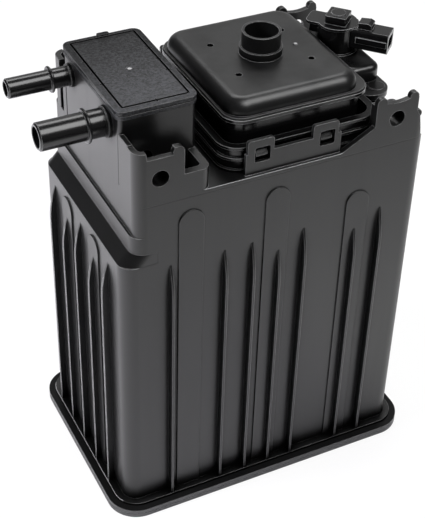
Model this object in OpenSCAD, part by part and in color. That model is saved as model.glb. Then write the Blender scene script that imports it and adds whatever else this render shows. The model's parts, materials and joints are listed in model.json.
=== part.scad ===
// Charcoal canister for a vehicle's fuel vapour system.
// Millimetres. X runs along the wide front, Y to the back, Z up, zero at the
// middle of the underside. The hose nipples point to -X.

/* [Housing] */
// Width of the lower body across X
body_w = 173; // [168:0.5:184]
// Depth of the body across Y
body_d = 111; // [109:1:116]
// Height of the top deck
deck_z = 211; // [200:1:225]
// Radius of the body's upright corners
body_r = 8; // [6:0.5:10]
// Radius of the upper body's upright corners on the nipple side
upper_r = 6; // [5:0.5:8]
// Wall thickness
wall_t = 2.5; // [2:0.1:3]
// Height where the wall on the nipple side starts to slope in
ledge_z = 173.5; // [160:0.5:178]
// Height of that slope
ledge_h = 7; // [5:0.5:9]
// How far the upper body stands in behind the slope
ledge_in = 7.5; // [6:0.25:9]
// Rounding of the deck's edge on the valve side
deck_round = 8; // [5:0.5:9]
// Place of the wall between the two carbon chambers
split_x = 26; // [15:1:30]

/* [Bottom cover] */
// How far the welded flange stands out from the body
flange_out = 8.5; // [7:0.25:11]
// Thickness of the flange
flange_t = 5.2; // [4.6:0.1:7]
// Corner radius of the flange
flange_r = 17.5; // [15:0.5:19]
// How far the body's foot stays in from the flange's edge
foot_in = 4; // [3:0.25:5]

/* [Ribs] */
// How far the upright fins stand out of the wall
fin_out = 4.2; // [3:0.1:5]
// Fin thickness
fin_t = 1.4; // [1:0.1:2]
// Height of the fin tips
fin_top = 170; // [150:1:174]
// Height over which a fin runs out into the wall
fin_run = 22; // [15:1:30]
// Width of the round-topped raised strips
arch_w = 13.8; // [12:0.1:16]
// How far the strips stand proud
arch_out = 0.8; // [0.5:0.1:1.2]

/* [Mounting ears] */
// Bolt hole diameter
ear_hole_d = 9; // [6.4:0.1:10]
// Distance of a bolt hole from the body's side
ear_in = 20.5; // [19:0.5:22.5]
// Height of the bolt holes over the deck
ear_hole_up = 13; // [12:0.5:15]
// Ear plate thickness
ear_t = 3; // [2.4:0.1:3.4]

/* [Port tower] */
// Tower width across X
tower_w = 40.5; // [37:0.5:42]
// Tower depth across Y
tower_d = 72.2; // [66:0.2:74]
// Height of the tower walls over the deck
tower_up = 37.6; // [35:0.2:45]
// Lid thickness
lid_t = 4.4; // [3.6:0.1:6]
// Overhang of the lid
lid_over = 1; // [0.5:0.1:1.4]
// Outside diameter of the tank nipple
tank_d = 14.2; // [12:0.1:15]
// Outside diameter of the purge nipple
purge_d = 10.4; // [9:0.1:11.5]
// Length of the tank nipple from the tower wall
tank_len = 36.2; // [30:0.2:42]
// Length of the purge nipple from the tower wall
purge_len = 34.9; // [29:0.1:42]

/* [Vent module] */
// Gap between the tower and the tray
tray_gap = 9.5; // [8:0.5:12]
// How far the tray stays in from the body's front and back
tray_in = 7; // [6.5:0.25:9.5]
// Tray height over the deck
tray_h = 14.5; // [13:0.5:16]
// Height of the filter box over the tray
box_up = 12; // [10:0.5:14]
// Height of the domed cover
cover_h = 8.9; // [8.6:0.1:12]
// Rounding of the cover's top edges
cover_e = 7; // [4:0.5:7]
// Outside diameter of the fresh air stub
stub_d = 20.3; // [18:0.1:24]
// Length of the stub over the cover
stub_len = 12.5; // [10:0.5:20]

/* [Vent valve] */
// Outside diameter of the solenoid can
can_d = 20.6; // [20.2:0.1:22]
// Length of the can over its foot
can_h = 15; // [14.6:0.1:17]
// Turn of the connector away from the front face's direction
plug_turn = -47; // [-60:1:-35]
// Connector length from the can's axis
plug_len = 29.5; // [27:0.5:34]
// Valve stroke
stroke = 2; // [1.5:0.1:2.2]
// Radial play of the plunger in its guide
guide_play = 0.06; // [0.04:0.01:0.09]

/* [Fits] */
// Gap between parts that drop into each other
fit_gap = 0.3; // [0.2:0.05:0.5]

/* [Hidden] */
$fn = 64;
xl = -body_w / 2;
xr = body_w / 2;
xu = xl + ledge_in;
yf = -body_d / 2;
ear_hole_x = xr - ear_in;
foot_z = flange_t;
foot_h = 1.6;
// fins: place along the wall, drop of the tip below fin_top
fins_front = [[-60.6, 0], [-30.4, 0], [-14.6, 0], [0.6, 7], [15.7, 0], [46.3, 7], [61.8, 0]];
fins_side = [[-39, 4], [-20.3, 11], [-1.8, 4], [16.9, 11], [35.6, 4]];
fin_out_side = fin_out - 0.2;
// raised strips: place along the wall, drop of the top below the deck
arches_front = [[-49.5, 10], [-1.2, 10.5], [47, 26.5]];
arches_side = [-20.3, 16.9];
arch_drop_side = 4;
slope_top = ledge_z + ledge_h;
slope_inset = 0.1;
step_in = 1.4;
step_z = slope_top + 10;
ear_up_left = 24.6;
ear_up_right = 22.3;
ear_return = 10;
ear_root = 4;
ears_back_in = 2;
boss_r = ear_hole_d / 2 + 2;
boss_len = 6;
notch_r = 23;
pocket_up = 12.2;
pocket_t = 4;
pocket_r = 5;
tower_x0 = xu;
tower_x1 = xu + tower_w;
valve_x = xr - 18.5;
tray_x0 = tower_x1 + tray_gap;
tray_x1 = valve_x - 7;
tray_w = tray_x1 - tray_x0;
tray_d = body_d - 2 * tray_in;
tray_cx = (tray_x0 + tray_x1) / 2;
mod_x = tray_cx - 1.5;
clip_y = yf + 2;
clip_t = 2;
clips_x = [mod_x - 25.7, mod_x + 10.9];
clip_x0 = clips_x[0] - 8.2;
clip_x1 = clips_x[1] + 9;
clip_up = 12.2;
tab_w = 14.6;
tab_up = 19.4;
window_x = 1;
window_z = deck_z + 10.75;
hook_z = window_z + 1.2;
tower_y0 = -36.5;
tower_y1 = tower_y0 + tower_d;
wall_up = 29.5;
lid_z = deck_z + tower_up;
groove_w = 1;
groove_z = 1.2;
vent_notch = [3, 0.7];
collar_out = 0.9;
bead_at = 11.5;
port_z = lid_z - tank_d / 2 - 1.25;
tank_y = tower_y0 + 14.6;
purge_y = tower_y1 - 10.1;
mod_y = -1.5;
tray_y0 = mod_y - tray_d / 2;
tray_y1 = mod_y + tray_d / 2;
tray_top = deck_z + tray_h;
tray_r = 12;
tray_wall = 4;
tray_rims = [0, 6.7, tray_h - 1.6];
tray_rim_t = 1.6;
floor_t = 2.5;
box_w = tray_w - 8.5;
box_d = tray_d - 9;
box_lip = 3;
box_lip_t = 1.9;
grid_n = 5;
grid_edge = 12;
grid_bar = 3.5;
box_top = tray_top + box_up;
cover_w = box_w - 6.5;
cover_d = box_d - 4;
cover_rim_t = 1.1;
dot_x = cover_w * 0.277;
dot_y = cover_d * 0.194;
dot_r = 1.7;
dot_deep = 1.5;
gate_r = 1.2;
valve_y = 11.5;
valve_top = deck_z + 19.5;
dome_x0 = tray_x1 + 0.4;
dome_x1 = valve_x + 13.5;
dome_y0 = valve_y - 26.5;
dome_y1 = valve_y + 15.5;
chamber_r = 8;
bulge_r = chamber_r + 1.2;
spigot_r = 7;
seal_t = 1.2;
deck_seal_r = 8.1;
shell_seal_r = 9.6;
shell_foot_r = 12;
nozzle_r = 4.5;
nozzle_z = deck_z + 8.5;
nozzle_end = tray_x1 - tray_wall - 1.2;
port_ring = 1;
can_z = valve_top + 1;
can_top = can_z + can_h;
can_r = can_d / 2;
coil_z = can_z + 1.2;
coil_h = can_top - 1.2 - coil_z;
room_r = can_r - 0.5;
neck_r = 7;
plug_z = can_top - 6;
plug_h = 11;
seat_z = deck_z + 5;
seat_r = 4.6;
rod_r = 1.8;
plunger_r = 4;
pole_up = 4;
bore_r = plunger_r + guide_play;
plunger_z = can_z + pole_up + stroke + 0.2;
spring_seat = 3;
bed_z0 = flange_t + 19;
bed_z1 = deck_z - deck_round - 3;
pad_t = 3;
lower_pad_t = 4;
plate_t = 2.5;
plate_z = bed_z0 - lower_pad_t - plate_t;
plate_pitch_x = 22;
plate_pitch_y = 18;
plate_hole_r = 5;
plate_spring_r = 15;
plate_spring_t = 1.8;
spring_gap = 0.15;
in_x0 = xl + wall_t;
in_xu = xu + wall_t;
in_x1 = xr - wall_t;
in_y = body_d / 2 - wall_t;
in_r = body_r - wall_t;
in_step = ledge_z - 8;
roof_t = 3;
mouth_z = 14;
split_t = 2.5;
split_x0 = split_x - split_t / 2;
split_x1 = split_x + split_t / 2;
plastic = "#1d1d1f";

// Shared shapes

// Rounded rectangle centred on the origin.
module rrect(w, d, r) {
  square([w - 2 * r, d], center = true);
  square([w, d - 2 * r], center = true);
  for (sx = [-1, 1], sy = [-1, 1])
    translate([sx * (w / 2 - r), sy * (d / 2 - r)]) circle(r);
}

// Block whose corners have one radius on the -X side and another on the +X side.
module side_block(x0, x1, y, z0, z1, r0, r1) {
  translate([0, 0, z0]) linear_extrude(z1 - z0) {
    translate([x0 + r0, -y]) square([x1 - x0 - r0 - r1, 2 * y]);
    translate([x0, r0 - y]) square([r0, 2 * (y - r0)]);
    translate([x1 - r1, r1 - y]) square([r1, 2 * (y - r1)]);
    for (s = [-1, 1]) {
      translate([x0 + r0, s * (y - r0)]) circle(r0);
      translate([x1 - r1, s * (y - r1)]) circle(r1);
    }
  }
}

// Block with rounded upright corners between two heights.
module block(x0, x1, y0, y1, z0, z1, r) {
  translate([(x0 + x1) / 2, (y0 + y1) / 2, z0])
    linear_extrude(z1 - z0) rrect(x1 - x0, y1 - y0, r);
}

// Plain box between two corners.
module box(x0, x1, y0, y1, z0, z1) {
  translate([x0, y0, z0]) cube([x1 - x0, y1 - y0, z1 - z0]);
}

// Upright profile with rounded top corners, standing on the axis.
module top_round(w, h, e) {
  translate([-w / 2, 0]) square([w, h - e]);
  translate([-w / 2 + e, 0]) square([w - 2 * e, h]);
  for (s = [-1, 1]) translate([s * (w / 2 - e), h - e]) half_disc(e);
}

module half_disc(e) {
  difference() {
    circle(e);
    translate([-e, -2 * e]) square([2 * e, 2 * e]);
  }
}

// Block with rounded upright corners and rounded top edges.
module pillow(w, d, h, r, e) {
  rotate([90, 0, 0]) linear_extrude(d - 2 * r, center = true) top_round(w, h, e);
  rotate([90, 0, 90]) linear_extrude(w - 2 * r, center = true) top_round(d, h, e);
  for (sx = [-1, 1], sy = [-1, 1])
    translate([sx * (w / 2 - r), sy * (d / 2 - r), 0]) rotate_extrude() {
      square([r, h - e]);
      square([r - e, h]);
      translate([r - e, h - e]) intersection() {
        circle(e);
        square(e);
      }
    }
}

// Round tube along Z.
module tube(ro, ri, h) {
  difference() {
    cylinder(r = ro, h = h);
    translate([0, 0, -1]) cylinder(r = ri, h = h + 2);
  }
}

// Ring with a round section.
module ring(r, t) {
  rotate_extrude() translate([r, 0]) circle(t / 2, $fn = 24);
}

// Coil spring of half turns that lie flat and half turns that climb.
module coil(r, t, h, turns) {
  pitch = (h - t) / turns;
  tilt = atan(pitch / (2 * r));
  translate([0, 0, t / 2]) {
    for (k = [0 : turns - 1]) {
      translate([0, 0, (k + 0.5) * pitch]) rotate([0, tilt, 0])
        rotate_extrude(angle = 180) translate([r / cos(tilt), 0]) circle(t / 2, $fn = 24);
      for (s = [0, 1]) translate([s == 0 ? r : -r, 0, (k + s) * pitch]) sphere(t * 0.56, $fn = 24);
    }
    for (k = [0 : turns])
      translate([0, 0, k * pitch]) rotate(180)
        rotate_extrude(angle = 180) translate([r, 0]) circle(t / 2, $fn = 24);
  }
}

// Places a child that stands on the front wall on any of the four walls.
module on_wall(turn, along, out) {
  rotate(turn) translate([along, -out, 0]) children();
}

// Gusset fin: straight outer edge that curves into the wall at the top.
module fin(top, out) {
  z1 = top - fin_run;
  rad = fin_run * fin_run / (2 * out) + out / 2;
  rotate([90, 0, -90]) linear_extrude(fin_t, center = true) {
    translate([-1.5, foot_z]) square([out + 1.5, z1 - foot_z]);
    intersection() {
      translate([out - rad, z1]) circle(rad, $fn = 128);
      translate([-1.5, z1 - 0.5]) square([out + 1.5, fin_run + 1]);
    }
  }
}

// Round-topped strip that stands a little proud of the wall.
module arch(top) {
  translate([0, 1, 0]) rotate([90, 0, 0]) linear_extrude(1 + arch_out) {
    translate([-arch_w / 2, foot_z]) square([arch_w, top - arch_w / 2 - foot_z]);
    translate([0, top - arch_w / 2]) circle(arch_w / 2);
  }
}

// Housing

// Band of the body where the wall on the nipple side slopes in: a leaning
// prism on that side, which carries the slope round the corners.
module shoulder() {
  lean = atan((ledge_in - step_in) / ledge_h);
  reach = 20;
  intersection() {
    translate([xl + slope_inset, 0, ledge_z]) rotate([0, lean, 0]) translate([40, 0, -40])
      linear_extrude(80) rrect(80, body_d - 2 * slope_inset, body_r);
    box(xl - 1, xl + reach, yf - 1, 1 - yf, ledge_z, slope_top);
  }
  difference() {
    block(xl, xr, yf, -yf, ledge_z, slope_top, body_r);
    box(xl - 1, xl + reach - 1, yf - 1, 1 - yf, ledge_z - 1, slope_top + 1);
  }
}

// Outer solid of the body below the deck.
module body_solid() {
  block(xl, xr, yf, -yf, foot_z, ledge_z, body_r);
  shoulder();
  side_block(xu - step_in, xr, body_d / 2, slope_top, step_z, upper_r + step_in, body_r);
  difference() {
    side_block(xu, xr, body_d / 2, step_z, deck_z, upper_r, body_r);
    difference() {
      box(xr - deck_round, xr + 1, yf - 1, 1 - yf, deck_z - deck_round, deck_z + 1);
      translate([xr - deck_round, 0, deck_z - deck_round]) rotate([90, 0, 0])
        cylinder(r = deck_round, h = body_d + 4, center = true);
    }
  }
  foot = flange_out - foot_in;
  block(xl - foot, xr + foot, yf - foot, foot - yf, foot_z, foot_z + foot_h, flange_r - foot_in);
}

// Fins and raised strips on all four walls.
module ribs() {
  for (turn = [0, 180]) {
    side = turn == 0 ? 1 : -1;
    for (f = fins_front) on_wall(turn, side * f[0], body_d / 2) fin(fin_top - f[1], fin_out);
    for (a = arches_front) on_wall(turn, side * a[0], body_d / 2) arch(deck_z - a[1]);
  }
  for (turn = [-90, 90]) {
    side = turn < 0 ? 1 : -1;
    for (f = fins_side) on_wall(turn, side * f[0], body_w / 2) fin(fin_top - f[1], fin_out_side);
    for (y = arches_side) on_wall(turn, side * y, body_w / 2) arch(ledge_z - arch_drop_side);
  }
}

// Ring of the upper wall's plan, which all ears follow round the corners.
module upper_ring(h) {
  top = h + ear_root;
  t = ear_t;
  translate([0, 0, deck_z - ear_root]) difference() {
    side_block(xu, xr, body_d / 2, 0, top, upper_r, body_r);
    side_block(xu + t, xr - t, body_d / 2 - t, -1, top + 1, upper_r - t, body_r - t);
  }
}

// Outline of the ear on the nipple side, seen from the front.
module ear_left_outline() {
  e = -ear_hole_x;
  up = ear_up_left;
  translate([0, deck_z]) {
    polygon([[xu - 1, -ear_root], [xu - 1, up + 3.9], [xu + 5.7, up + 3.9], [xu + 6.1, up],
      [e + 7.3, up], [e + 7.3, up + 4], [e + 9.6, up + 4], [e + 9.6, up + 1], [e + 12.6, up + 1],
      [e + 12.6, -ear_root]]);
    translate([e + 9.6, up + 1]) circle(3);
  }
}

// Outline of the ear on the valve side, seen from the front.
module ear_right_outline() {
  e = ear_hole_x;
  up = ear_up_right;
  translate([0, deck_z]) {
    difference() {
      polygon([[clip_x1, -ear_root], [clip_x1, 0], [e - 12.8, 10.5], [e - 12.8, up + 0.8],
        [e + 12, up + 0.8], [e + 12, 15], [e + 14.3, 11], [e + 16.5, 0], [e + 16.5, -ear_root]]);
      translate([e, up + notch_r]) circle(notch_r, $fn = 128);
    }
    translate([e - 12.8, 0]) square([6, up + 1.5]);
    translate([e - 9.8, up + 1.5]) circle(3);
    translate([e + 6.6, 0]) square([5.2, up + 1.4]);
    translate([e + 9.2, up + 1.4]) circle(2.6);
  }
}

// Wall round the pocket between an ear and the tower, whose face is at y1.
module pocket_wall(y1) {
  x0 = -ear_hole_x + 12;
  x1 = tower_x1 - 0.3;
  w = x1 - x0 + 10;
  d = y1 + 5 - yf;
  translate([0, 0, deck_z - 1]) linear_extrude(pocket_up + 1) difference() {
    translate([x1 - w / 2, yf + d / 2]) rrect(w, d, pocket_r);
    translate([x1 - pocket_t - w / 2, yf + pocket_t + d / 2]) rrect(w, d, pocket_r / 2);
    translate([x0 - 12, yf - 1]) square([12, d + 6]);
    translate([x0 - 12, y1 + 1]) square([x1 - x0 + 14, 6]);
  }
}

// Ears, pocket and clip wall of one long side, drawn for the front.
module ear_set(y1) {
  intersection() {
    upper_ring(ear_up_left + 8);
    translate([0, yf + ear_return, 0]) rotate([90, 0, 0]) linear_extrude(ear_return + 1) {
      ear_left_outline();
      ear_right_outline();
    }
  }
  // stiffening returns behind the ears' inner edges
  box(-ear_hole_x + 10.2, -ear_hole_x + 13, yf + 1, yf + 6, deck_z - 1, deck_z + ear_up_left);
  box(ear_hole_x - 12.8, ear_hole_x - 10.2, yf + 1, yf + 5.5, deck_z - 1, deck_z + ear_up_right);
  translate([ear_hole_x + 13.2, yf + 6, deck_z + 12]) rotate([90, 0, 0]) cylinder(r = 2.4, h = 5);
  pocket_wall(y1);
  clip_wall();
}

// Ears on both long sides and the wall on the nipple side.
module ears() {
  ear_set(tower_y0);
  // bosses that lengthen the front ears' bolt holes
  for (s = [-1, 1]) translate([s * ear_hole_x, yf + ear_t + boss_len, deck_z + ear_hole_up])
    rotate([90, 0, 0]) cylinder(r = boss_r, h = boss_len + 1);
  mirror([0, 1, 0]) translate([0, ears_back_in, 0]) ear_set(-tower_y1 - ears_back_in);
  box(xu, xu + wall_t, yf + ear_return - 1, tower_y0 + 1, deck_z - 1, deck_z + wall_up);
  box(xu, xu + wall_t, tower_y1 - 1, tower_y1 + 3.3, deck_z - 1, deck_z + wall_up - 9);
}

// Low wall with two snap tabs that hold the vent tray.
module clip_wall() {
  translate([0, clip_y + clip_t, deck_z]) rotate([90, 0, 0]) linear_extrude(clip_t) difference() {
    union() {
      translate([clip_x0, -1]) square([clip_x1 - clip_x0, clip_up + 1]);
      for (x = clips_x) translate([x, tab_up / 2 - 1]) rrect(tab_w, tab_up + 2, 1.5);
    }
    for (x = clips_x) translate([x + window_x, window_z - deck_z]) rrect(8.6, 8.5, 1.2);
  }
}

// Tower walls with the wall between the two port chambers.
module tower() {
  difference() {
    block(tower_x0, tower_x1, tower_y0, tower_y1, deck_z - 1, lid_z, 2.5);
    block(tower_x0 + wall_t, tower_x1 - wall_t, tower_y0 + wall_t, tower_y1 - wall_t,
      deck_z, lid_z + 1, 1);
  }
  box(tower_x0 + 1, tower_x1 - 1, 0, wall_t, deck_z - 1, lid_z - 6);
}

// Hose nipple with a retaining bead, standing out along Z from a wall at zero.
module nipple(d, len) {
  r = d / 2;
  rotate_extrude() {
    translate([0, -1]) square([r, len + 0.2]);
    polygon([[0, len - 1], [r, len - 1], [r - 0.9, len], [0, len]]);
    translate([0, -1]) square([r + collar_out, 3]);
    translate([0, bead_at - 0.8]) square([r + 0.9, 1.6]);
    translate([r + 0.9, bead_at]) circle(0.8, $fn = 24);
  }
}

module housing() {
  color(plastic) difference() {
    union() {
      body_solid();
      ribs();
      ears();
      tower();
      translate([xu, tank_y, port_z]) rotate([0, -90, 0]) nipple(tank_d, tank_len);
      translate([xu, purge_y, port_z]) rotate([0, -90, 0]) nipple(purge_d, purge_len);
    }
    // carbon chambers, open at the bottom
    block(in_x0, split_x0, -in_y, in_y, mouth_z, in_step, in_r);
    block(in_xu, split_x0, -in_y, in_y, mouth_z, deck_z - roof_t, in_r);
    block(split_x1, in_x1, -in_y, in_y, mouth_z, deck_z - deck_round, in_r);
    block(split_x1, in_x1 - 6, -in_y, in_y, mouth_z, deck_z - roof_t, in_r);
    block(in_x0, in_x1, -in_y, in_y, -1, mouth_z + 0.5, in_r);
    // nipple bores
    translate([xu + 5, tank_y, port_z]) rotate([0, -90, 0]) cylinder(d = tank_d - 3.4, h = tank_len + 10);
    translate([xu + 5, purge_y, port_z]) rotate([0, -90, 0]) cylinder(d = purge_d - 3, h = purge_len + 10);
    // vapour slots from the tower into the tank chamber
    for (x = [-10.5, 0, 10.5], y = [tower_y0 + 18, tower_y1 - 17])
      translate([(tower_x0 + tower_x1) / 2 + x, y, deck_z - 5]) linear_extrude(10) rrect(4, 24, 1.5);
    // vent hole under the valve
    translate([valve_x, valve_y, deck_z - 5]) cylinder(r = spigot_r + fit_gap, h = 10);
    // bolt holes
    for (s = [-1, 1]) translate([s * ear_hole_x, 0, deck_z + ear_hole_up]) rotate([90, 0, 0])
      cylinder(d = ear_hole_d, h = body_d + 20, center = true);
  }
}

// Covers

module bottom_cover() {
  w = body_w + 2 * flange_out;
  d = body_d + 2 * flange_out;
  color("#202022") difference() {
    union() {
      linear_extrude(flange_t) rrect(w, d, flange_r);
      // rib that centres the cover in the body
      difference() {
        block(in_x0 + fit_gap, in_x1 - fit_gap, -in_y + fit_gap, in_y - fit_gap,
          flange_t - 1, flange_t + 3, in_r - fit_gap);
        block(in_x0 + 2.5, in_x1 - 2.5, -in_y + 2.5, in_y - 2.5, flange_t - 2, flange_t + 4, in_r - 2.5);
      }
    }
    // underside pockets between stiffening ribs
    for (ix = [-2 : 1], iy = [-1 : 0])
      translate([(ix + 0.5) * (w - 20) / 4, (iy + 0.5) * (d - 20) / 2, -1])
        linear_extrude(3.2) rrect((w - 20) / 4 - 3, (d - 20) / 2 - 3, 4);
    // weld line round the edge
    translate([0, 0, flange_t / 2 - 0.2]) linear_extrude(0.4) difference() {
      rrect(w + 2, d + 2, flange_r + 1);
      rrect(w - 0.8, d - 0.8, flange_r - 0.4);
    }
  }
}

module tower_lid() {
  cx = (tower_x0 + tower_x1) / 2;
  cy = (tower_y0 + tower_y1) / 2;
  w = tower_w + 2 * lid_over;
  d = tower_d + 2 * lid_over;
  z1 = lid_z + lid_t;
  gw = w - 8.6;
  gd = d - 8.2;
  color("#1f1f21") translate([cx, cy, 0]) {
    difference() {
      union() {
        translate([0, 0, lid_z]) linear_extrude(lid_t) rrect(w, d, 4.5);
        translate([1.5, d / 2 - 0.6, lid_z]) linear_extrude(lid_t + 0.8) rrect(6.6, 2.8, 1.2);
        // plug that sits inside the tower walls
        translate([0, 0, lid_z - 3]) linear_extrude(3.5)
          rrect(tower_w - 2 * wall_t - 2 * fit_gap, tower_d - 2 * wall_t - 2 * fit_gap, 1);
      }
      translate([0, 0, lid_z - 4]) linear_extrude(4)
        rrect(tower_w - 2 * wall_t - 5, tower_d - 2 * wall_t - 5, 1);
      // sunk line with small notches across it
      translate([0.4, 0.8, z1 - groove_z]) linear_extrude(2) {
        difference() {
          rrect(gw + 2 * groove_w, gd + 2 * groove_w, 1.9);
          rrect(gw, gd, 0.8);
        }
        for (s = [-1, 1], y = [-9.6, 2, 13.6])
          translate([s * (gw + groove_w) / 2, y]) square(vent_notch, center = true);
        translate([0.4, -(gd + groove_w) / 2]) rotate(90) square(vent_notch, center = true);
      }
      // step under the edge
      translate([0, 0, lid_z + lid_t * 0.45]) linear_extrude(0.5) difference() {
        rrect(w + 6, d + 6, 5);
        rrect(w - 0.8, d - 0.8, 4.1);
      }
    }
    translate([0.4, -0.6, z1 - 0.1]) cylinder(r = 1.6, h = 0.5);
  }
}

// Vent module

module vent_tray() {
  color(plastic) difference() {
    union() {
      block(tray_x0 + 1.4, tray_x1 - 1.4, tray_y0 + 1.4, tray_y1 - 1.4, deck_z, tray_top, tray_r - 1.4);
      for (z = tray_rims)
        block(tray_x0, tray_x1, tray_y0, tray_y1, deck_z + z, deck_z + z + tray_rim_t, tray_r);
      // snap hooks for the clip walls' windows
      for (x = clips_x) {
        tray_hook(x, tray_y0 + 1, clip_y + clip_t / 2);
        mirror([0, 1, 0]) tray_hook(x, 1 - tray_y1, clip_y + clip_t / 2 + ears_back_in);
      }
    }
    block(tray_x0 + tray_wall, tray_x1 - tray_wall, tray_y0 + tray_wall, tray_y1 - tray_wall,
      deck_z + floor_t, tray_top + 1, tray_r - tray_wall);
    // hollow for the valve's round side and the hole for its nozzle
    translate([valve_x, valve_y, deck_z - 1]) cylinder(r = bulge_r + fit_gap, h = tray_h + 2);
    translate([valve_x, valve_y, nozzle_z]) rotate([0, -90, 0]) cylinder(r = nozzle_r + port_ring, h = 14);
  }
}

// Snap hook from inside the tray's front wall to the middle of the clip wall.
module tray_hook(x, from, to) {
  translate([x + window_x, 0, hook_z]) rotate([90, 0, 90]) linear_extrude(6.4, center = true)
    polygon([[from, -2.6], [to, -2.6], [to, -1.4], [from, 2.6]]);
}

module filter_box() {
  w = box_w - 2 * box_lip;
  d = box_d - 2 * box_lip;
  px = (w - grid_edge) / grid_n;
  py = (d - grid_edge) / grid_n;
  color(plastic) translate([tray_cx, mod_y, 0]) difference() {
    union() {
      translate([0, 0, deck_z + floor_t]) linear_extrude(box_top - deck_z - floor_t) rrect(w, d, 9);
      translate([0, 0, box_top - box_lip_t]) linear_extrude(box_lip_t) rrect(box_w, box_d, 11);
    }
    translate([0, 0, deck_z + floor_t + 2]) linear_extrude(60) rrect(w - 4, d - 4, 7);
    // air grid in the floor
    for (ix = [-2 : 2], iy = [-2 : 2])
      translate([ix * px, iy * py, deck_z]) linear_extrude(8) rrect(px - grid_bar, py - grid_bar, 1.5);
  }
}

// Pleated air filter.
module vent_filter() {
  w = box_w - 2 * box_lip - 4 - 2 * fit_gap;
  d = box_d - 2 * box_lip - 4 - 2 * fit_gap;
  n = 12;
  p = (w - 4) / n;
  z0 = deck_z + floor_t + 2;
  h = 14;
  color("#c9c3b2") translate([tray_cx, mod_y, z0]) {
    rotate([90, 0, 0]) linear_extrude(d - 4, center = true) polygon(concat(
      [for (i = [0 : n]) each [[-w / 2 + 2 + i * p, 1], if (i < n) [-w / 2 + 2 + (i + 0.5) * p, h - 1.2]]],
      [for (i = [n : -1 : 0]) each [[-w / 2 + 2 + i * p, 2.2],
        if (i > 0) [-w / 2 + 2 + (i - 0.5) * p, h]]]));
    difference() {
      linear_extrude(h) rrect(w, d, 6);
      translate([0, 0, -1]) linear_extrude(h + 2) rrect(w - 5, d - 5, 4);
    }
  }
}

module vent_cover() {
  color("#232325") translate([mod_x, mod_y, box_top]) difference() {
    union() {
      translate([tray_cx - mod_x, 0, 0]) linear_extrude(cover_rim_t) rrect(box_w - 1.2, box_d - 1.2, 10.4);
      pillow(cover_w, cover_d, cover_h, 11, cover_e);
      translate([0, 0, cover_h - 1]) cylinder(d = stub_d, h = stub_len + 1);
      translate([0, 0, cover_h - 1]) cylinder(d = stub_d + 2.2, h = 5);
      // gate spot
      translate([dot_x - 0.8, -0.3, cover_h - 0.2]) cylinder(r = gate_r, h = 0.6);
    }
    translate([0, 0, -0.01]) pillow(cover_w - 5, cover_d - 5, cover_h - 2.2, 9, cover_e - 2);
    translate([0, 0, -1]) cylinder(d = stub_d - 2.6, h = cover_h + stub_len + 2);
    for (sx = [-1, 1], sy = [-1, 1])
      translate([sx * dot_x, sy * dot_y, cover_h - dot_deep]) cylinder(r = dot_r, h = 2);
  }
}

// Vent valve

module valve_body() {
  color(plastic) difference() {
    union() {
      translate([(dome_x0 + dome_x1) / 2, (dome_y0 + dome_y1) / 2, deck_z])
        pillow(dome_x1 - dome_x0, dome_y1 - dome_y0, valve_top - deck_z, 6, 3);
      translate([valve_x, valve_y, deck_z]) cylinder(r = bulge_r, h = valve_top - deck_z);
      // base plate with two screw bosses
      block(dome_x0, dome_x1 + 0.3, dome_y0 - 13.5, dome_y1 + 5, deck_z + 7.5, deck_z + 10.7, 10);
      for (y = [dome_y0 - 5, dome_y1 + 0.5])
        translate([valve_x + 7.5, y, deck_z]) cylinder(r = 4.6, h = 11);
      // round foot of the solenoid
      translate([valve_x, valve_y, tray_top + fit_gap])
        cylinder(r = shell_foot_r + 0.4, h = valve_top - tray_top - fit_gap);
      // spigot into the deck
      translate([valve_x, valve_y, deck_z - 4]) cylinder(r = spigot_r, h = 5);
      // nozzle into the tray
      translate([nozzle_end, valve_y, nozzle_z]) rotate([0, 90, 0]) cylinder(r = nozzle_r, h = 7);
    }
    // valve chamber over the seat
    translate([valve_x, valve_y, seat_z - 1.2]) cylinder(r = chamber_r, h = valve_top - seat_z - 1.3);
    translate([valve_x, valve_y, deck_z - 5]) cylinder(r = seat_r, h = 12);
    translate([valve_x, valve_y, valve_top - 5]) cylinder(r = neck_r + 0.2, h = 6);
    translate([nozzle_end - 1, valve_y, nozzle_z]) rotate([0, 90, 0]) cylinder(r = nozzle_r - 1.4, h = 10);
    // grooves for the seals
    translate([valve_x, valve_y, valve_top - seal_t]) tube(shell_seal_r + 0.8, shell_seal_r - 0.8, 2);
    translate([valve_x, valve_y, deck_z - 1]) tube(deck_seal_r + 0.7, deck_seal_r - 0.7, 1 + seal_t);
  }
  // raised seat
  color(plastic) translate([valve_x, valve_y, seat_z - 2]) tube(seat_r + 1, seat_r, 2);
}

module deck_seal() {
  color("#2a2a2a") translate([valve_x, valve_y, deck_z + seal_t / 2]) ring(deck_seal_r, seal_t);
}

module port_seal() {
  color("#2a2a2a") translate([tray_x1 - tray_wall, valve_y, nozzle_z]) rotate([0, 90, 0])
    tube(nozzle_r + port_ring, nozzle_r, 1.3);
}

module shell_seal() {
  color("#2a2a2a") translate([valve_x, valve_y, valve_top - seal_t / 2]) ring(shell_seal_r, seal_t);
}

// The two contact blades, in the connector's own directions.
module blades() {
  for (s = [-1, 1]) translate([plug_len - 16, s * 2.2 - 0.75, plug_z - 0.4]) cube([12, 1.5, 0.8]);
}

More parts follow.
